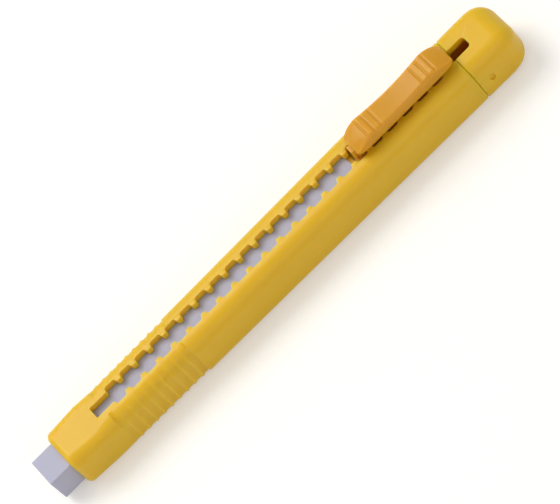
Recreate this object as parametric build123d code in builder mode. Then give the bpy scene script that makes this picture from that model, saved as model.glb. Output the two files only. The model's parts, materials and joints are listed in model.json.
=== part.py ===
from build123d import *
from math import atan2, cos, degrees, pi, sin
import os

# Retractable stick eraser: a square eraser stick slides inside a yellow barrel whose top carries a
# scalloped slot. The orange thumb slider is pressed down to free its boss from a scallop, and pushed
# along. Everything is in millimetres. X runs from the eraser tip to the tail, Z is up, and the barrel
# lies on its flat bottom at Z = 0. Distances "along" are measured from the barrel's front lip.

# Barrel and cap: outside
barrel_length = 107.3
cap_length = 12.2
mouth_height = 10.45
tail_height = 11.6
lip_width = 10.6
mouth_width = 11.05
waist_width = 11.72
tail_width = 12.72
lip_edge_radius = 2.7
mouth_edge_radius = 2.25
grip_edge_radius = 2.9
top_edge_radius = 3.1
bottom_edge_radius = 2.25
tail_corner_radius = 4.3
tail_end_radius = 4.2
tail_round_length = 5.0
lip_radius = 1.3
lip_flare = 8.0
seam_chamfer = 0.25

# Grip: a shallow waist with cross ribs on both sides
grip_start = 12.1
grip_length = 19.8
grip_width = 10.85
rib_count = 9
rib_spacing = 2.054
rib_base = 1.1
first_rib = 1.7
first_rib_height = 0.2
last_rib_height = 0.36

# Slot in the top wall, with a scallop for each click
top_wall = 1.8
slot_front = 10.1
slot_width = 2.98
slot_end_radius = 0.25
slot_past_seam = 4.2
cap_slot_radius = 0.8
click_spacing = 4.09
notch_count = 22
first_notch = 16.15
notch_length = 2.73
notch_width = 4.9
notch_corner = 0.53
tooth_corner = 0.42

# Hollow of the barrel and the cap
cavity_width = 8.4
cavity_height = 7.1
mouth_depth = 5.0
mouth_clearance = 0.1
cap_end_wall = 2.0
spigot_length = 3.6
spigot_wall = 0.7
spigot_radius = 1.8
spigot_clearance = 0.05
dimple_along_cap = 3.0
dimple_drop = 5.9
dimple_width = 1.4
dimple_height = 2.4
dimple_depth = 0.5

# Eraser stick and the clicks that it is pushed out by
eraser_size = 6.9
eraser_edge_radius = 0.2
eraser_tip_radius = 0.15
eraser_out = 5.35
rest_click = 16

# Eraser holder
holder_clearance = 0.12
bulkhead = 1.0
jaw_length = 7.0
well_side = 1.0
well_length = 22.6
well_depth = 2.0
holder_hollow = 3.2
holder_skin = 0.9

# Thumb slider
slider_length = 25.75
slider_width = 6.0
nose_proud = 0.7
slider_gap = 1.4
hump_height = 4.35
saddle_height = 3.55
saddle_power = 1.8
crest_width = 4.6
shoulder_chamfer = 0.3
shoulder_drop = 0.1
bow_length = 4.5
bow_end_width = 4.4
bow_end_height = 2.65
bow_end_crest = 0.4
bow_end_chamfer = 0.03
bow_drop = 0.4
bow_fall_power = 1.5
bow_plan_power = 4.5
groove_count = 3
groove_spacing = 1.7
groove_offset = 7.3
groove_radius = 0.35
groove_depth = 0.2
groove_margin = 0.1
neck_width = 2.5
neck_root = 0.3
nose_width = 1.6
nose_length = 0.8
boss_length = 2.1
boss_width = 4.3
boss_height = 0.7
boss_corner = 0.4
foot_thickness = 0.8
toe_length = 0.3
foot_clearance = 0.15
press_travel = 1.0

# Leaf spring under the slider
spring_length = 17.0
spring_width = 3.2
spring_thickness = 0.2
spring_pocket = 0.6
spring_end_room = 1.0
spring_clearance = 0.05

# Worked-out places
body_length = barrel_length + cap_length
overall_length = body_length + eraser_out
front = eraser_out - overall_length / 2
cut_margin = 1.0
deck_slope = atan2(tail_height - mouth_height, body_length)
deck_axis = Vector(cos(deck_slope), 0, sin(deck_slope))
deck_normal = Vector(-sin(deck_slope), 0, cos(deck_slope))
deck = Plane(origin=(front, 0, mouth_height), x_dir=deck_axis, z_dir=deck_normal)
core_depth = top_wall + cavity_height / 2
cavity_end = body_length - cap_end_wall
boss_along = first_notch + rest_click * click_spacing
bulkhead_back = boss_along - boss_length / 2 - foot_clearance - toe_length
eraser_end = bulkhead_back - bulkhead
neck_front = boss_along - boss_length / 2
slider_front = neck_front + nose_proud
mouth_size = eraser_size + 2 * mouth_clearance
grip_end = grip_start + grip_length


def height_at(along):
    return mouth_height + (tail_height - mouth_height) * along / body_length


def width_at(along):
    share = (along - grip_end) / (body_length - grip_end)
    return waist_width + (tail_width - waist_width) * share


def station(along):
    """Upright plane across the barrel, drawn with Y to the right and Z up."""
    return Plane(origin=(front + along, 0, 0), x_dir=(0, 1, 0), z_dir=(1, 0, 0))


def across(along):
    """Plane square to the deck, with its origin on the deck's centre line."""
    return Plane(origin=deck.from_local_coords((along, 0, 0)), x_dir=(0, 1, 0), z_dir=deck_axis)


def outline(along, width, top_radius, bottom_radius, inset=0):
    """Outside section of the barrel or cap: flat on the floor, with its top on the deck."""
    with BuildSketch(station(along)) as section:
        with Locations((0, height_at(along) / 2)):
            Rectangle(width - 2 * inset, height_at(along) - 2 * inset)
        fillet(section.vertices().group_by(Axis.Y)[-1], top_radius)
        fillet(section.vertices().group_by(Axis.Y)[0], bottom_radius)
    return section.sketch


def core(along, width, height, radius=0):
    """Rectangle round the eraser's axis, square to the deck."""
    with BuildSketch(across(along)) as section:
        with Locations((0, -core_depth)):
            Rectangle(width, height)
        if radius:
            fillet(section.vertices(), radius)
    return section.sketch


def body_outline(along, inset=0):
    return outline(along, width_at(along), top_edge_radius, bottom_edge_radius, inset)


def grip_outline(along):
    return outline(along, grip_width, grip_edge_radius, bottom_edge_radius)


def rib_outline(along):
    share = (along - grip_start) / grip_length
    rib_height = first_rib_height + (last_rib_height - first_rib_height) * share
    return outline(along, grip_width + 2 * rib_height, grip_edge_radius, bottom_edge_radius)


# Barrel
nose_sections = [
    outline(0, lip_width, lip_edge_radius, lip_edge_radius),
    outline(lip_flare, mouth_width, mouth_edge_radius, mouth_edge_radius),
    outline(grip_start, mouth_width, grip_edge_radius, bottom_edge_radius),
]
grip_sections = [grip_outline(grip_start)]
for rib in range(rib_count):
    tip = grip_start + first_rib + rib * rib_spacing
    grip_sections += [grip_outline(tip - rib_base / 2), rib_outline(tip), grip_outline(tip + rib_base / 2)]
grip_sections.append(grip_outline(grip_end))
body_sections = [
    body_outline(grip_end),
    body_outline(barrel_length - seam_chamfer),
    body_outline(barrel_length, seam_chamfer),
]

with BuildPart() as barrel:
    loft(sections=nose_sections, ruled=True)
    loft(sections=grip_sections, ruled=True)
    loft(sections=body_sections, ruled=True)
    fillet(barrel.faces().sort_by(Axis.X)[0].edges(), lip_radius)
    extrude(core(mouth_depth, cavity_width, cavity_height), amount=body_length, mode=Mode.SUBTRACT)
    extrude(core(-cut_margin, mouth_size, mouth_size), amount=mouth_depth + 2 * cut_margin,
            mode=Mode.SUBTRACT)
    extrude(core(barrel_length - spigot_length - spigot_clearance,
                 cavity_width + 2 * spigot_wall + 2 * spigot_clearance,
                 cavity_height + 2 * spigot_wall + 2 * spigot_clearance,
                 spigot_radius + spigot_clearance),
            amount=spigot_length + cut_margin, mode=Mode.SUBTRACT)
    with BuildSketch(deck.offset(cut_margin)) as slot:
        with Locations((slot_front, 0)):
            Rectangle(body_length, slot_width, align=(Align.MIN, Align.CENTER))
        with Locations((first_notch + (notch_count - 1) * click_spacing / 2, 0)):
            with GridLocations(click_spacing, 1, notch_count, 1):
                RectangleRounded(notch_length, notch_width, notch_corner)
        fillet(slot.vertices().group_by(Axis.X)[0], slot_end_radius)
        tooth_tips = slot.vertices().filter_by(
            lambda v: abs(abs(v.Y) - slot_width / 2) < 0.01
            and slot_front + slot_end_radius + 0.01 < v.X < body_length)
        fillet(tooth_tips, tooth_corner)
    extrude(amount=-(top_wall + 2 * cut_margin), mode=Mode.SUBTRACT)
barrel.part.label = "barrel"

# Tail cap: its spigot plugs into the barrel, and the slot runs on into it
dimple_along = barrel_length + dimple_along_cap
with BuildPart() as tail_cap:
    loft(sections=[
        body_outline(barrel_length, seam_chamfer),
        body_outline(barrel_length + seam_chamfer),
        body_outline(body_length - tail_round_length),
        outline(body_length, tail_width, tail_corner_radius, tail_corner_radius),
    ], ruled=True)
    fillet(tail_cap.faces().sort_by(Axis.X)[-1].edges(), tail_end_radius)
    extrude(core(barrel_length - spigot_length,
                 cavity_width + 2 * spigot_wall,
                 cavity_height + 2 * spigot_wall,
                 spigot_radius),
            amount=spigot_length + seam_chamfer)
    extrude(core(barrel_length - spigot_length - cut_margin, cavity_width, cavity_height),
            amount=cavity_end - barrel_length + spigot_length + cut_margin, mode=Mode.SUBTRACT)
    with BuildSketch(deck.offset(cut_margin)) as cap_slot:
        with Locations((barrel_length + slot_past_seam, 0)):
            Rectangle(spigot_length + slot_past_seam + cut_margin, slot_width,
                      align=(Align.MAX, Align.CENTER))
        fillet(cap_slot.vertices().group_by(Axis.X)[-1], cap_slot_radius)
    extrude(amount=-(top_wall + 2 * cut_margin), mode=Mode.SUBTRACT)
    with BuildSketch(Plane.XZ.offset(width_at(body_length) / 2)) as dimple:
        with Locations((front + dimple_along, height_at(dimple_along) - dimple_drop)):
            Ellipse(dimple_width / 2, dimple_height / 2)
    extrude(amount=-dimple_depth, mode=Mode.SUBTRACT)
tail_cap.part.label = "tail_cap"

# Eraser stick
with BuildPart() as eraser:
    extrude(core(-eraser_out, eraser_size, eraser_size, eraser_edge_radius),
            amount=eraser_out + eraser_end)
    fillet(eraser.faces().sort_by(Axis.X)[0].edges(), eraser_tip_radius)
eraser.part.label = "eraser"

# Eraser holder: two jaws on the stick's end, a bulkhead behind it, and a well for the slider's foot
holder_width = cavity_width - 2 * holder_clearance
holder_height = cavity_height - 2 * holder_clearance
holder_length = 2 * bulkhead + well_length
well_width = holder_width - 2 * well_side
foot_top = top_wall + holder_clearance
well_floor = foot_top + well_depth
with BuildPart() as eraser_holder:
    extrude(core(eraser_end, holder_width, holder_height), amount=holder_length)
    with BuildSketch(across(eraser_end - jaw_length)) as jaws:
        with Locations((0, -core_depth)):
            Rectangle(holder_width, eraser_size - 2 * eraser_edge_radius)
            Rectangle(eraser_size, eraser_size, mode=Mode.SUBTRACT)
    extrude(amount=jaw_length)
    with BuildSketch(deck.offset(-top_wall)) as well:
        with Locations((eraser_end + bulkhead, 0)):
            Rectangle(well_length, well_width, align=(Align.MIN, Align.CENTER))
    extrude(amount=-(holder_clearance + well_depth), mode=Mode.SUBTRACT)
    with BuildSketch(deck.offset(-well_floor)) as pocket:
        with Locations((eraser_end + bulkhead + well_length / 2, 0)):
            Rectangle(spring_length + 2 * spring_end_room, spring_width + 4 * spring_clearance)
    extrude(amount=-spring_pocket, mode=Mode.SUBTRACT)
    with BuildSketch(deck.offset(-(top_wall + cavity_height))) as hollow:
        with Locations((eraser_end + holder_length / 2, 0)):
            Rectangle(holder_length - 2 * bulkhead, holder_width - 2 * holder_skin)
    extrude(amount=holder_hollow, mode=Mode.SUBTRACT)
eraser_holder.part.label = "eraser_holder"

# Leaf spring: a bowed strip between the well floor and the slider's foot
spring_floor = well_floor + spring_pocket
spring_rise = spring_floor - foot_top - foot_thickness - spring_clearance
spring_middle = eraser_end + bulkhead + well_length / 2
spring_side = Plane(origin=deck.from_local_coords((spring_middle, spring_width / 2, -spring_floor)),
                    x_dir=deck_axis, z_dir=(0, -1, 0))
with BuildPart() as slider_spring:
    with BuildSketch(spring_side):
        with BuildLine():
            lower = ThreePointArc((-spring_length / 2, spring_clearance),
                                  (0, spring_rise - spring_thickness),
                                  (spring_length / 2, spring_clearance))
            upper = ThreePointArc((-spring_length / 2, spring_clearance + spring_thickness),
                                  (0, spring_rise),
                                  (spring_length / 2, spring_clearance + spring_thickness))
            Line(lower @ 0, upper @ 0)
            Line(lower @ 1, upper @ 1)
        make_face()
    extrude(amount=spring_width)
slider_spring.part.label = "slider_spring"


# Thumb slider
def nearness(along):
    """1 at either end of the slider's cap, falling to 0 where the bow meets the humps."""
    end_distance = min(along, slider_length - along)
    return max(0, 1 - end_distance / bow_length)


def crest_height(along):
    """Height above the deck of the slider's top: a bow at either end, two humps and a saddle."""
    bow = nearness(along)
    if bow > 0:
        return hump_height - (hump_height - bow_end_height) * bow ** bow_fall_power
    from_middle = abs(2 * along - slider_length) / (slider_length - 2 * bow_length)
    return saddle_height + (hump_height - saddle_height) * from_middle ** saddle_power


def slider_section(along):
    """Section of the slider's cap: upright sides, narrow shoulders and a flat crest."""
    bow = nearness(along)
    half_width = slider_width / 2 - (slider_width - bow_end_width) / 2 * bow ** bow_plan_power
    crest_half = crest_width / 2 - (crest_width - bow_end_crest) / 2 * bow
    chamfer_size = bow_end_chamfer + (shoulder_chamfer - bow_end_chamfer) * (1 - bow) ** 2
    crest = crest_height(along)
    shoulder = crest - shoulder_drop - bow_drop * bow
    half = [
        (half_width, slider_gap),
        (half_width, shoulder - chamfer_size),
        (half_width - chamfer_size, shoulder),
        (crest_half, crest),
    ]
    with BuildSketch(across(slider_front + along)) as section:
        with BuildLine():
            Polyline(*half, *[(-y, z) for y, z in reversed(half)], close=True)
        make_face()
    return section.sketch


bow_steps = [0, 0.1, 0.22, 0.45, 0.72, 1]
wave_steps = 8
slider_stations = [share * bow_length for share in bow_steps]
wave_length = slider_length - 2 * bow_length
slider_stations += [bow_length + wave_length * step / wave_steps for step in range(1, wave_steps)]
slider_stations += [slider_length - share * bow_length for share in reversed(bow_steps)]

foot_back = eraser_end + bulkhead + well_length - foot_clearance
foot_front = bulkhead_back + foot_clearance
with BuildPart() as thumb_slider:
    loft(sections=[slider_section(along) for along in slider_stations])
    for group in (-1, 1):
        for groove in range(groove_count):
            middle = slider_length / 2 + group * groove_offset
            along = middle + (groove - (groove_count - 1) / 2) * groove_spacing
            bottom = crest_height(along) - groove_depth
            groove_plane = Plane(
                origin=deck.from_local_coords((slider_front + along, 0, bottom + groove_radius)),
                x_dir=deck_axis, z_dir=(0, -1, 0))
            with BuildSketch(groove_plane) as groove_round:
                Circle(groove_radius)
            extrude(amount=crest_width / 2 - groove_margin, both=True, mode=Mode.SUBTRACT)
    with BuildSketch(deck.offset(-foot_top)) as neck:
        with Locations((neck_front + nose_length, 0)):
            Rectangle(foot_back - neck_front - nose_length, neck_width, align=(Align.MIN, Align.CENTER))
        with Locations((neck_front, 0)):
            Rectangle(nose_length + neck_root, nose_width, align=(Align.MIN, Align.CENTER))
    extrude(amount=foot_top + slider_gap + neck_root)
    with BuildSketch(deck.offset(-foot_top)) as boss:
        with Locations((boss_along, 0)):
            RectangleRounded(boss_length, boss_width, boss_corner)
    extrude(amount=boss_height)
    with BuildSketch(deck.offset(-foot_top)) as foot:
        with Locations((foot_front, 0)):
            Rectangle(foot_back - foot_front, well_width - 2 * foot_clearance,
                      align=(Align.MIN, Align.CENTER))
    extrude(amount=-foot_thickness)
thumb_slider.part.label = "thumb_slider"

os.makedirs("parts", exist_ok=True)
for piece in (barrel, tail_cap, eraser, eraser_holder, slider_spring, thumb_slider):
    export_step(piece.part, f"parts/{piece.part.label}.step")
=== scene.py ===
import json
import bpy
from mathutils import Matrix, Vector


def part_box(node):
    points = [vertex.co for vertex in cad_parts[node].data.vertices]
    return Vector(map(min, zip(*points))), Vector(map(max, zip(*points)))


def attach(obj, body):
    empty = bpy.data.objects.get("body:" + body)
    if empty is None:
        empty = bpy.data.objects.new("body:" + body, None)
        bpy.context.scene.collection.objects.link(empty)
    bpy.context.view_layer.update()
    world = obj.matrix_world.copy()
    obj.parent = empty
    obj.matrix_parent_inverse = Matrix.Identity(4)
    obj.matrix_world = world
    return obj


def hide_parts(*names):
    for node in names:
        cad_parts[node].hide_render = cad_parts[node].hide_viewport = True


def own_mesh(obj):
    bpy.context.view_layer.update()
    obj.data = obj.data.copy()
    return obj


bl_info = {
    "name": "Retractable stick eraser",
    "version": (1, 0, 0),
    "blender": (4, 5, 0),
    "location": "3D View > Sidebar > Stick eraser",
    "description": "Dresses the packed model of a retractable stick eraser and sets its stage",
    "category": "Object",
}

from math import cos, radians, sin, sqrt

import bmesh
import bpy
from mathutils import Matrix, Vector

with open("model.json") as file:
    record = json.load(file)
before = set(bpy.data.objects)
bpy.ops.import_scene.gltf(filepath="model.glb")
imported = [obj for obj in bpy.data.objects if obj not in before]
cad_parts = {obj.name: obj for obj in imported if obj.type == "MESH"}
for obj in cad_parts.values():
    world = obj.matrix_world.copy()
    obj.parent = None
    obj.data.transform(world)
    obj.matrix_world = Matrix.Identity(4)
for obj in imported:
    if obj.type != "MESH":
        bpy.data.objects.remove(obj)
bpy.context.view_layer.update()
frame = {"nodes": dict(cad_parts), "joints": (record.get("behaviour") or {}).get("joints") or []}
NODES = frame["nodes"]
JOINTS = {joint["name"]: joint for joint in frame["joints"]}
MM = 0.001

# The barrel's top face, called the deck, rises a little towards the tail
DECK_AXIS = -Vector(JOINTS["carriage_slide"]["axis"])
DECK_NORMAL = -Vector(JOINTS["slider_press"]["axis"])
BARREL_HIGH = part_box("barrel")[1]
DECK_POINT = Vector((BARREL_HIGH.x, 0, BARREL_HIGH.z))

# The thumb slider's bows, at both ends of its top
BOW_END_HEIGHT = 2.65 * MM
BOW_FALL_POWER = 1.5
BOW_PLAN_POWER = 4.5
BOW_NARROWING = 0.8 * MM
BOW_CREST = 0.2 * MM
END_ROUNDING = 0.35 * MM

# Its middle and its sides
SADDLE_POWER = 1.8
CREST_WIDENING = 2.1 * MM
BOW_CHAMFER = 0.08 * MM
CHAMFER_WIDENING = 0.47 * MM
SHOULDER_DROP = 0.1 * MM
BOW_SHOULDER_DROP = 0.4 * MM
BOTTOM_ROUNDING = 0.25 * MM
SIDE_ROUNDING = 0.15 * MM
CREST_ROUNDING = 1.0 * MM

# Its grip grooves, three on each hump
GROOVE_STEPS = (-1, 0, 1)
GROOVE_OFFSET = 7.3 * MM
GROOVE_REACH = 0.45 * MM
GROOVE_END = 2.85 * MM
GROOVE_FADE = 0.35 * MM
GROOVED_SHARE = 0.75

# The slider's rings of points from end to end, and the steps of each rounded corner
RING_COUNT = 300
END_RINGS = (0, 0.03 * MM, 0.1 * MM, 0.2 * MM)
RING_MARGIN = 0.3 * MM
CORNER_STEPS = 5

# The foot is cut just under the slider's top and reaches up into it
FOOT_CUT = 0.02 * MM
FOOT_RISE = 0.4 * MM

# Lamps and floor, in metres
KEY_PLACE = (-0.25, 0.5, 0.85)
KEY_SIZE = 0.6
FILL_PLACE = (0.1, -0.8, 0.5)
FILL_SIZE = 0.5
FLOOR_REACH = 3.0


# Settings

class StickEraserFinish(bpy.types.PropertyGroup):
    """Colours and surface values of the plastics, the vinyl and the steel."""

    yellow: bpy.props.FloatVectorProperty(
        name="Yellow plastic", description="Colour of the barrel and the tail cap",
        subtype="COLOR", size=3, min=0, max=1, default=(0.80, 0.50, 0.014))
    yellow_depth: bpy.props.FloatProperty(
        name="Yellow glow", description="How deep light scatters in the yellow plastic",
        unit="LENGTH", min=0, default=2.0 * MM)
    orange: bpy.props.FloatVectorProperty(
        name="Orange plastic", description="Colour of the thumb slider and the eraser holder",
        subtype="COLOR", size=3, min=0, max=1, default=(0.69, 0.34, 0.014))
    orange_depth: bpy.props.FloatProperty(
        name="Orange glow", description="How deep light scatters in the orange plastic",
        unit="LENGTH", min=0, default=1.8 * MM)
    vinyl: bpy.props.FloatVectorProperty(
        name="Vinyl", description="Colour of the eraser stick",
        subtype="COLOR", size=3, min=0, max=1, default=(0.50, 0.50, 0.62))
    steel: bpy.props.FloatVectorProperty(
        name="Spring steel", description="Colour of the leaf spring",
        subtype="COLOR", size=3, min=0, max=1, default=(0.60, 0.60, 0.58))


class StickEraserShape(bpy.types.PropertyGroup):
    """Sizes of the thumb slider's moulded top and of the rounded edges."""

    edge: bpy.props.FloatProperty(
        name="Moulded edge", description="Rounding of the plastic pieces' sharp edges",
        unit="LENGTH", min=0, default=0.12 * MM)
    slider_length: bpy.props.FloatProperty(
        name="Slider length", description="Length of the thumb slider's top",
        unit="LENGTH", default=25.75 * MM)
    slider_width: bpy.props.FloatProperty(
        name="Slider width", description="Width of the thumb slider's top",
        unit="LENGTH", default=6.0 * MM)
    slider_gap: bpy.props.FloatProperty(
        name="Slider gap", description="Height of the slider's underside above the deck",
        unit="LENGTH", default=1.4 * MM)
    hump_height: bpy.props.FloatProperty(
        name="Hump height", description="Height of the slider's two humps above the deck",
        unit="LENGTH", default=4.35 * MM)
    saddle_height: bpy.props.FloatProperty(
        name="Saddle height", description="Height of the slider's dished middle above the deck",
        unit="LENGTH", default=3.55 * MM)
    bow_length: bpy.props.FloatProperty(
        name="Bow length", description="Length over which each end of the slider tapers",
        unit="LENGTH", default=4.5 * MM)
    groove_depth: bpy.props.FloatProperty(
        name="Groove depth", description="Depth of the grip grooves across the humps",
        unit="LENGTH", default=0.2 * MM)
    groove_spacing: bpy.props.FloatProperty(
        name="Groove spacing", description="Distance from one grip groove to the next",
        unit="LENGTH", default=1.7 * MM)


class StickEraserStage(bpy.types.PropertyGroup):
    """Camera, sky and lamps."""

    elevation: bpy.props.FloatProperty(
        name="Elevation", description="Height of the camera above the horizon",
        subtype="ANGLE", default=radians(54.5))
    roll: bpy.props.FloatProperty(
        name="Roll", description="Tilt of the object's length in the picture",
        subtype="ANGLE", default=radians(44.68))
    distance: bpy.props.FloatProperty(
        name="Distance", description="Distance from the camera to the object",
        unit="LENGTH", default=0.9)
    lens: bpy.props.FloatProperty(
        name="Lens", description="Focal length of the camera, in millimetres", default=299.3)
    aim: bpy.props.FloatVectorProperty(
        name="Aim", description="The point that the camera looks at",
        subtype="TRANSLATION", size=3, default=(0.395 * MM, 0, 5.02 * MM))
    world_level: bpy.props.FloatProperty(
        name="Sky level", description="Brightness of the even light from all sides", default=0.52)
    key_power: bpy.props.FloatProperty(
        name="Key lamp", description="Power of the large lamp above, in watts", default=6.0)
    fill_power: bpy.props.FloatProperty(
        name="Fill lamp", description="Power of the lamp on the near side, in watts", default=1.3)


# Shader helpers

def new_group(name, inputs, outputs):
    """A shader node group with named sockets; returns the tree and its two end nodes."""
    tree = bpy.data.node_groups.new(name, "ShaderNodeTree")
    for label, kind, default in inputs:
        socket = tree.interface.new_socket(label, in_out="INPUT", socket_type="NodeSocket" + kind)
        if default is not None:
            socket.default_value = default
    for label, kind in outputs:
        tree.interface.new_socket(label, in_out="OUTPUT", socket_type="NodeSocket" + kind)
    return tree, tree.nodes.new("NodeGroupInput"), tree.nodes.new("NodeGroupOutput")


def node(tree, kind, values=(), links=(), **settings):
    """A shader node with its settings, socket values and incoming links."""
    made = tree.nodes.new("ShaderNode" + kind)
    for key, value in settings.items():
        setattr(made, key, value)
    for label, value in dict(values).items():
        made.inputs[label].default_value = value
    for label, socket in dict(links).items():
        tree.links.new(socket, made.inputs[label])
    return made


def spread(tree, value, low, high):
    """Maps a value from 0..1 to low..high."""
    return node(tree, "MapRange", {"To Min": low, "To Max": high}, {"Value": value}).outputs["Result"]


def build_grain_group():
    """Moulded grain: slow clouds in the colour, and fine speckle in gloss and height."""
    tree, entry, out = new_group(
        "Moulded grain",
        [("Place", "Vector", None), ("Grain Size", "Float", 9000.0), ("Cloud Size", "Float", 140.0)],
        [("Cloud", "Float"), ("Speckle", "Float"), ("Height", "Float")])
    place = entry.outputs["Place"]
    cloud = node(tree, "TexNoise", {"Detail": 3, "Roughness": 0.55},
                 {"Vector": place, "Scale": entry.outputs["Cloud Size"]})
    speckle = node(tree, "TexNoise", {"Detail": 2, "Roughness": 0.6},
                   {"Vector": place, "Scale": entry.outputs["Grain Size"]})
    ripple = node(tree, "TexNoise", {"Scale": 900, "Detail": 2, "Roughness": 0.5}, {"Vector": place})
    height = node(tree, "Math", {1: 0.35}, {0: ripple.outputs["Fac"]}, operation="MULTIPLY")
    height = node(tree, "Math", {}, {0: height.outputs[0], 1: speckle.outputs["Fac"]}, operation="ADD")
    tree.links.new(cloud.outputs["Fac"], out.inputs["Cloud"])
    tree.links.new(speckle.outputs["Fac"], out.inputs["Speckle"])
    tree.links.new(height.outputs[0], out.inputs["Height"])
    return tree


def build_edge_highlight_group():
    """Painted edge highlight: a mask that is 1 where the surface turns sharply, used to paint edges paler as
    a highlight and make them glossier.
    """
    tree, entry, out = new_group(
        "Painted edge highlight and gloss", [("Reach", "Float", 0.25 * MM), ("Break-up", "Float", 0.4)], [("Edge", "Float")])
    rounded = node(tree, "Bevel", {}, {"Radius": entry.outputs["Reach"]}, samples=4)
    true_normal = node(tree, "NewGeometry").outputs["Normal"]
    dot = node(tree, "VectorMath", {}, {0: rounded.outputs["Normal"], 1: true_normal},
               operation="DOT_PRODUCT")
    turned = node(tree, "MapRange", {"From Min": 1.0, "From Max": 0.85}, {"Value": dot.outputs["Value"]})
    place = node(tree, "TexCoord").outputs["Object"]
    patches = node(tree, "TexNoise", {"Scale": 420, "Detail": 3}, {"Vector": place})
    broken = node(tree, "Math", {}, {0: patches.outputs["Fac"], 1: entry.outputs["Break-up"]},
                  operation="MULTIPLY")
    kept = node(tree, "Math", {0: 1.0}, {1: broken.outputs[0]}, operation="SUBTRACT")
    mask = node(tree, "Math", {}, {0: turned.outputs["Result"], 1: kept.outputs[0]},
                operation="MULTIPLY", use_clamp=True)
    tree.links.new(mask.outputs[0], out.inputs["Edge"])
    return tree


def shared_group(name, build):
    """The named node group, built the first time that it is asked for."""
    return bpy.data.node_groups.get(name) or build()


def new_material(name):
    """A material with nodes, its tree and its shader."""
    made = bpy.data.materials.new(name)
    made.use_nodes = True
    return made, made.node_tree, made.node_tree.nodes["Principled BSDF"]


def add_grain(tree):
    """The moulded grain group, placed by the object's own coordinates."""
    grain = node(tree, "Group", node_tree=shared_group("Moulded grain", build_grain_group))
    tree.links.new(node(tree, "TexCoord").outputs["Object"], grain.inputs["Place"])
    return grain


def tinted(tree, factor, first, second):
    """A colour that goes from first to second as the factor goes from 0 to 1."""
    mix = node(tree, "Mix", data_type="RGBA")
    mix.inputs["A"].default_value = (*first, 1)
    tree.links.new(factor, mix.inputs["Factor"])
    mix.inputs["B"].default_value = (*second, 1)
    return mix.outputs["Result"]


def scaled(colour, factor):
    return tuple(min(1.0, channel * factor) for channel in colour)


def moulded_plastic(name, colour, depth, gloss, specular):
    """Glossy moulded plastic: scattering colour, clouded tone, fine speckle, and sharp edges painted paler
    as a highlight and made glossier.
    """
    if name in bpy.data.materials:
        return bpy.data.materials[name]
    made, tree, shader = new_material(name)
    grain = add_grain(tree)
    edge = node(tree, "Group", node_tree=shared_group("Painted edge highlight and gloss", build_edge_highlight_group)).outputs["Edge"]
    body = tinted(tree, grain.outputs["Cloud"], scaled(colour, 0.96), scaled(colour, 1.04))
    # Sharp edges are painted paler: a painted highlight along the edges
    painted_edge_highlight = node(tree, "Mix", data_type="RGBA")
    faint = node(tree, "Math", {1: 0.25}, {0: edge}, operation="MULTIPLY").outputs[0]
    tree.links.new(faint, painted_edge_highlight.inputs["Factor"])
    tree.links.new(body, painted_edge_highlight.inputs["A"])
    painted_edge_highlight.inputs["B"].default_value = (*[channel * 0.8 + 0.2 for channel in colour], 1)
    tree.links.new(painted_edge_highlight.outputs["Result"], shader.inputs["Base Color"])
    rough = spread(tree, grain.outputs["Speckle"], gloss - 0.06, gloss + 0.06)
    # The same edge mask also lowers the roughness, making the edges glossier
    edge_gloss = node(tree, "Math", {1: 0.08}, {0: edge}, operation="MULTIPLY").outputs[0]
    rough = node(tree, "Math", {}, {0: rough, 1: edge_gloss}, operation="SUBTRACT").outputs[0]
    tree.links.new(rough, shader.inputs["Roughness"])
    bump = node(tree, "Bump", {"Strength": 0.12, "Distance": 0.02 * MM}, {"Height": grain.outputs["Height"]})
    tree.links.new(bump.outputs["Normal"], shader.inputs["Normal"])
    shader.inputs["Specular IOR Level"].default_value = specular
    shader.inputs["Subsurface Weight"].default_value = 1.0
    shader.inputs["Subsurface Radius"].default_value = (1.0, 0.75, 0.25)
    shader.inputs["Subsurface Scale"].default_value = depth
    return made


def yellow_plastic():
    finish = bpy.context.scene.stick_eraser_finish
    return moulded_plastic("yellow moulding", finish.yellow, finish.yellow_depth, 0.40, 0.35)


def orange_plastic():
    finish = bpy.context.scene.stick_eraser_finish
    return moulded_plastic("orange moulding", finish.orange, finish.orange_depth, 0.42, 0.35)


def eraser_vinyl():
    """Matt vinyl: soft grain in tone, gloss and height."""
    colour = bpy.context.scene.stick_eraser_finish.vinyl
    made, tree, shader = new_material("soft vinyl")
    grain = add_grain(tree)
    grain.inputs["Grain Size"].default_value = 5000
    grain.inputs["Cloud Size"].default_value = 260
    body = tinted(tree, grain.outputs["Cloud"], scaled(colour, 0.95), scaled(colour, 1.05))
    tree.links.new(body, shader.inputs["Base Color"])
    tree.links.new(spread(tree, grain.outputs["Speckle"], 0.7, 0.9), shader.inputs["Roughness"])
    bump = node(tree, "Bump", {"Strength": 0.25, "Distance": 0.03 * MM}, {"Height": grain.outputs["Height"]})
    tree.links.new(bump.outputs["Normal"], shader.inputs["Normal"])
    shader.inputs["Specular IOR Level"].default_value = 0.2
    shader.inputs["Subsurface Weight"].default_value = 0.3
    shader.inputs["Subsurface Radius"].default_value = (1.0, 0.9, 0.8)
    shader.inputs["Subsurface Scale"].default_value = 0.4 * MM
    return made


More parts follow.
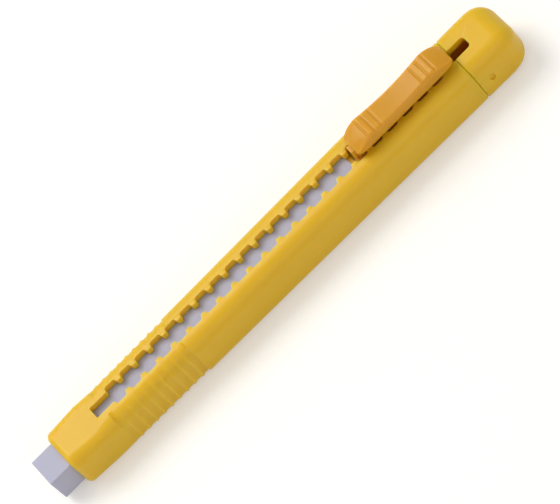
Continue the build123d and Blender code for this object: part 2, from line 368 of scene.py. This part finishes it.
def spring_steel():
    """Rolled steel strip: lengthwise brushing in gloss, tone and height."""
    colour = bpy.context.scene.stick_eraser_finish.steel
    made, tree, shader = new_material("rolled steel")
    place = node(tree, "TexCoord").outputs["Object"]
    drawn = node(tree, "Mapping", {"Scale": (0.04, 1, 1)}, {"Vector": place}).outputs["Vector"]
    brush = node(tree, "TexNoise", {"Scale": 14000, "Detail": 3}, {"Vector": drawn}).outputs["Fac"]
    tree.links.new(tinted(tree, brush, scaled(colour, 0.88), scaled(colour, 1.08)),
                   shader.inputs["Base Color"])
    tree.links.new(spread(tree, brush, 0.22, 0.38), shader.inputs["Roughness"])
    bump = node(tree, "Bump", {"Strength": 0.2, "Distance": 0.01 * MM}, {"Height": brush})
    tree.links.new(bump.outputs["Normal"], shader.inputs["Normal"])
    shader.inputs["Metallic"].default_value = 1.0
    return made


# Mesh helpers

def add_object(name, mesh, made, body, slot, *replaced):
    """Links a finished mesh as a piece that rides on a body and stands for CAD nodes."""
    mesh.materials.clear()
    mesh.materials.append(made)
    mesh.shade_smooth()
    mesh.set_sharp_from_angle(angle=radians(38))
    piece = bpy.data.objects.new(name, mesh)
    bpy.context.scene.collection.objects.link(piece)
    normals = piece.modifiers.new("weighted normals", "WEIGHTED_NORMAL")
    normals.keep_sharp = True
    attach(piece, body)
    if replaced:
        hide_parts(*replaced)
    return piece


def joined_facets(cad_node):
    """The CAD node's mesh with its seams welded and its flat facets joined."""
    shape = bmesh.new()
    shape.from_mesh(NODES[cad_node].data)
    bmesh.ops.remove_doubles(shape, verts=shape.verts, dist=0.001 * MM)
    bmesh.ops.dissolve_limit(shape, angle_limit=radians(0.02), verts=shape.verts, edges=shape.edges)
    return shape


def round_edges(shape, reach, angle=radians(28)):
    """Rounds every outward edge whose two faces turn by more than the angle."""
    sharp = [edge for edge in shape.edges if len(edge.link_faces) == 2 and edge.is_convex
             and edge.calc_face_angle() > angle]
    bmesh.ops.bevel(shape, geom=sharp, offset=reach, offset_type="OFFSET", segments=2, profile=0.5,
                    affect="EDGES", clamp_overlap=True)


def finished(shape, name):
    """Writes a bmesh to a new mesh and frees it."""
    bmesh.ops.recalc_face_normals(shape, faces=shape.faces)
    mesh = bpy.data.meshes.new(name)
    shape.to_mesh(mesh)
    shape.free()
    return mesh


def softened(cad_node, name, reach):
    """The CAD node's mesh with its outward edges rounded."""
    shape = joined_facets(cad_node)
    round_edges(shape, reach)
    return finished(shape, name)


# Pieces

class AddHousing(bpy.types.Operator):
    """Add the barrel and the tail cap with their moulded edges rounded"""

    bl_idname = "stick_eraser.add_housing"
    bl_label = "Add housing"

    def execute(self, context):
        edge = context.scene.stick_eraser_shape.edge
        for cad_node, name in (("barrel", "barrel_shell"), ("tail_cap", "tail_cap_shell")):
            add_object(name, softened(cad_node, name, edge), yellow_plastic(), "housing",
                       "yellow_plastic", cad_node)
        return {"FINISHED"}


class AddStick(bpy.types.Operator):
    """Add the eraser stick and the holder that carries it"""

    bl_idname = "stick_eraser.add_stick"
    bl_label = "Add stick and holder"

    def execute(self, context):
        edge = context.scene.stick_eraser_shape.edge
        add_object("eraser_stick", finished(joined_facets("eraser"), "eraser_stick"), eraser_vinyl(),
                   "carriage", "eraser_vinyl", "eraser")
        add_object("stick_holder", softened("eraser_holder", "stick_holder", edge / 2), orange_plastic(),
                   "carriage", "orange_plastic", "eraser_holder")
        return {"FINISHED"}


class AddSpring(bpy.types.Operator):
    """Add the leaf spring"""

    bl_idname = "stick_eraser.add_spring"
    bl_label = "Add leaf spring"

    def execute(self, context):
        piece = add_object("leaf_spring", finished(joined_facets("slider_spring"), "leaf_spring"),
                           spring_steel(), "carriage", "spring_steel", "slider_spring")
        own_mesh(piece)
        return {"FINISHED"}


def slider_bow(shape, along):
    """1 at either end of the slider's top, falling to 0 at the humps."""
    return max(0.0, 1 - min(along, shape.slider_length - along) / shape.bow_length)


def slider_crest(shape, along):
    """Height of the slider's top above the deck: bows, humps and a saddle."""
    bow = slider_bow(shape, along)
    if bow > 0:
        return shape.hump_height - (shape.hump_height - BOW_END_HEIGHT) * bow ** BOW_FALL_POWER
    from_middle = abs(2 * along - shape.slider_length) / (shape.slider_length - 2 * shape.bow_length)
    rise = shape.hump_height - shape.saddle_height
    return shape.saddle_height + rise * from_middle ** SADDLE_POWER


def groove_depth(shape, along, side):
    """How far a grip groove lowers the slider's top."""
    deepest = 0
    for group in (-1, 1):
        for step in GROOVE_STEPS:
            middle = shape.slider_length / 2 + group * GROOVE_OFFSET + step * shape.groove_spacing
            away = abs(along - middle) / GROOVE_REACH
            if away < 1:
                deepest = max(deepest, (1 - away ** 2) ** 2)
    fade = min(1.0, max(0.0, (GROOVE_END - abs(side)) / GROOVE_FADE))
    return shape.groove_depth * deepest * fade


def slider_outline(shape, along):
    """Rounded section of the slider's top: (side, height) points, anticlockwise from the bottom."""
    bow = slider_bow(shape, along)
    to_end = min(along, shape.slider_length - along)
    short_of = max(0.0, END_ROUNDING - to_end)
    inset = END_ROUNDING - sqrt(max(0.0, END_ROUNDING ** 2 - short_of ** 2))
    half_width = shape.slider_width / 2 - BOW_NARROWING * bow ** BOW_PLAN_POWER - inset
    chamfer = BOW_CHAMFER + CHAMFER_WIDENING * (1 - bow) ** 2
    crest_half = BOW_CREST + CREST_WIDENING * (1 - bow)
    crest = slider_crest(shape, along) - inset
    shoulder = crest - SHOULDER_DROP - BOW_SHOULDER_DROP * bow
    gap = shape.slider_gap + inset
    right = [
        ((half_width, gap), BOTTOM_ROUNDING),
        ((half_width, shoulder - chamfer), SIDE_ROUNDING + 0.6 * chamfer),
        ((half_width - chamfer, shoulder), 0.6 * chamfer),
        ((crest_half, crest), 0.4 * min(crest_half, CREST_ROUNDING)),
    ]
    corners = right + [((-side, height), reach) for (side, height), reach in reversed(right)]
    return rounded_outline([(Vector(place), reach) for place, reach in corners])


def rounded_outline(corners):
    """Closed outline through the corners, each eased over its own reach."""
    points = []
    for index, (corner, reach) in enumerate(corners):
        before = corners[index - 1][0] - corner
        after = corners[(index + 1) % len(corners)][0] - corner
        start = corner + before.normalized() * min(reach, before.length * 0.45)
        end = corner + after.normalized() * min(reach, after.length * 0.45)
        for step in range(CORNER_STEPS + 1):
            share = step / CORNER_STEPS
            points.append(start.lerp(corner, share).lerp(corner.lerp(end, share), share))
    return points


class AddSlider(bpy.types.Operator):
    """Add the thumb slider: its waved and grooved top, and the foot under the deck"""

    bl_idname = "stick_eraser.add_slider"
    bl_label = "Add thumb slider"

    def execute(self, context):
        shape = context.scene.stick_eraser_shape
        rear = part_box("thumb_slider")[1].x
        front = DECK_POINT + DECK_AXIS * (rear - shape.slider_length - DECK_POINT.x)

        def on_deck(along, side, height):
            return front + DECK_AXIS * along + Vector((0, side, 0)) + DECK_NORMAL * height

        between = shape.slider_length - 2 * RING_MARGIN
        alongs = list(END_RINGS)
        alongs += [RING_MARGIN + between * index / RING_COUNT for index in range(RING_COUNT + 1)]
        alongs += [shape.slider_length - along for along in reversed(END_RINGS)]
        top = bmesh.new()
        rings = []
        for along in alongs:
            ring = []
            grooved_above = slider_crest(shape, along) * GROOVED_SHARE
            for side, height in slider_outline(shape, along):
                lowered = groove_depth(shape, along, side) if height > grooved_above else 0
                ring.append(top.verts.new(on_deck(along, side, height - lowered)))
            rings.append(ring)
        for first, second in zip(rings, rings[1:]):
            for index in range(len(first)):
                after = (index + 1) % len(first)
                top.faces.new((first[index], first[after], second[after], second[index]))
        top.faces.new(rings[0])
        top.faces.new(reversed(rings[-1]))
        add_object("slider_top", finished(top, "slider_top"), orange_plastic(), "button",
                   "orange_plastic", "thumb_slider")

        foot = joined_facets("thumb_slider")
        under = on_deck(0, 0, shape.slider_gap - FOOT_CUT)
        cut = bmesh.ops.bisect_plane(foot, geom=foot.verts[:] + foot.edges[:] + foot.faces[:],
                                     plane_co=under, plane_no=DECK_NORMAL, clear_outer=True)
        rim = [item for item in cut["geom_cut"] if isinstance(item, bmesh.types.BMEdge)]
        for vert in {vert for edge in rim for vert in edge.verts}:
            vert.co += DECK_NORMAL * FOOT_RISE
        bmesh.ops.edgeloop_fill(foot, edges=rim)
        round_edges(foot, shape.edge / 2)
        add_object("slider_foot", finished(foot, "slider_foot"), orange_plastic(), "button",
                   "orange_plastic")
        return {"FINISHED"}


# Stage

def add_lamp(name, place, size, power, colour):
    data = bpy.data.lights.new(name, "AREA")
    data.shape = "SQUARE"
    data.size = size
    data.energy = power
    data.color = colour
    lamp = bpy.data.objects.new(name, data)
    lamp.location = place
    lamp.rotation_euler = (-Vector(place)).to_track_quat("-Z", "Y").to_euler()
    bpy.context.scene.collection.objects.link(lamp)


def seen_gain(tree, amount):
    """amount where the camera, a reflection or glass sees the surface, and 0 for its light on others."""
    path = node(tree, "LightPath")
    seen = node(tree, "Math", {}, {0: path.outputs["Is Camera Ray"], 1: path.outputs["Is Glossy Ray"]},
                operation="MAXIMUM")
    seen = node(tree, "Math", {}, {0: seen.outputs[0], 1: path.outputs["Is Transmission Ray"]},
                operation="MAXIMUM")
    return node(tree, "Math", {1: amount}, {0: seen.outputs[0]}, operation="MULTIPLY").outputs[0]


class AddStage(bpy.types.Operator):
    """Add the camera, the floor, the sky and the lamps"""

    bl_idname = "stick_eraser.add_stage"
    bl_label = "Add stage"

    def execute(self, context):
        stage = context.scene.stick_eraser_stage
        self.add_camera(context, stage)
        self.add_floor(context)
        world = bpy.data.worlds.new("studio")
        world.use_nodes = True
        background = world.node_tree.nodes["Background"]
        background.inputs["Color"].default_value = (0.96, 0.98, 1.0, 1)
        background.inputs["Strength"].default_value = stage.world_level
        context.scene.world = world
        add_lamp("key_lamp", KEY_PLACE, KEY_SIZE, stage.key_power, (1.0, 0.99, 0.97))
        add_lamp("fill_lamp", FILL_PLACE, FILL_SIZE, stage.fill_power, (1.0, 0.95, 0.85))
        context.scene.view_settings.view_transform = "Standard"
        return {"FINISHED"}

    def add_camera(self, context, stage):
        along = Vector((1, 0, 0))
        upward = Vector((0, sin(stage.elevation), cos(stage.elevation)))
        back = Vector((0, -cos(stage.elevation), sin(stage.elevation)))
        right = cos(stage.roll) * along - sin(stage.roll) * upward
        up = sin(stage.roll) * along + cos(stage.roll) * upward
        data = bpy.data.cameras.new("camera")
        data.lens = stage.lens
        data.sensor_width = 36
        data.clip_start = 0.01
        camera = bpy.data.objects.new("camera", data)
        place = Vector(stage.aim) + back * stage.distance
        camera.matrix_world = Matrix.Translation(place) @ Matrix((right, up, back)).transposed().to_4x4()
        context.scene.collection.objects.link(camera)
        context.scene.camera = camera

    def add_floor(self, context):
        mesh = bpy.data.meshes.new("floor")
        sides = ((-1, -1), (1, -1), (1, 1), (-1, 1))
        mesh.from_pydata([(x * FLOOR_REACH, y * FLOOR_REACH, 0) for x, y in sides], [], [(0, 1, 2, 3)])
        made, tree, shader = new_material("floor_paper")
        place = node(tree, "TexCoord").outputs["Object"]
        fibre = node(tree, "TexNoise", {"Scale": 700, "Detail": 4}, {"Vector": place}).outputs["Fac"]
        tree.links.new(tinted(tree, fibre, (0.76, 0.74, 0.70), (0.79, 0.77, 0.73)),
                       shader.inputs["Base Color"])
        shader.inputs["Roughness"].default_value = 1
        shader.inputs["Specular IOR Level"].default_value = 0
        shader.inputs["Emission Color"].default_value = (1, 1, 1, 1)
        tree.links.new(seen_gain(tree, 0.30), shader.inputs["Emission Strength"])
        mesh.materials.append(made)
        floor = bpy.data.objects.new("floor", mesh)
        context.scene.collection.objects.link(floor)


class StickEraserPanel(bpy.types.Panel):
    """Buttons and settings of the stick eraser"""

    bl_idname = "VIEW3D_PT_stick_eraser"
    bl_label = "Stick eraser"
    bl_space_type = "VIEW_3D"
    bl_region_type = "UI"
    bl_category = "Stick eraser"

    def draw(self, context):
        for operator in OPERATORS:
            self.layout.operator(operator.bl_idname)
        for settings in (context.scene.stick_eraser_finish, context.scene.stick_eraser_shape,
                         context.scene.stick_eraser_stage):
            box = self.layout.box()
            for name in settings.__annotations__:
                box.prop(settings, name)


OPERATORS = (AddStage, AddHousing, AddStick, AddSpring, AddSlider)
SETTINGS = {
    "stick_eraser_finish": StickEraserFinish,
    "stick_eraser_shape": StickEraserShape,
    "stick_eraser_stage": StickEraserStage,
}


def register():
    for item in (*SETTINGS.values(), *OPERATORS, StickEraserPanel):
        bpy.utils.register_class(item)
    for name, group in SETTINGS.items():
        setattr(bpy.types.Scene, name, bpy.props.PointerProperty(type=group))


def unregister():
    for name in SETTINGS:
        delattr(bpy.types.Scene, name)
    for item in reversed((*SETTINGS.values(), *OPERATORS, StickEraserPanel)):
        bpy.utils.unregister_class(item)


def corners(bounds):
    return [list(corner) for corner in bounds]


def main():
    register()
    bpy.ops.stick_eraser.add_stage()
    bpy.ops.stick_eraser.add_housing()
    bpy.ops.stick_eraser.add_stick()
    bpy.ops.stick_eraser.add_spring()
    bpy.ops.stick_eraser.add_slider()


if __name__ == "__main__":
    main()
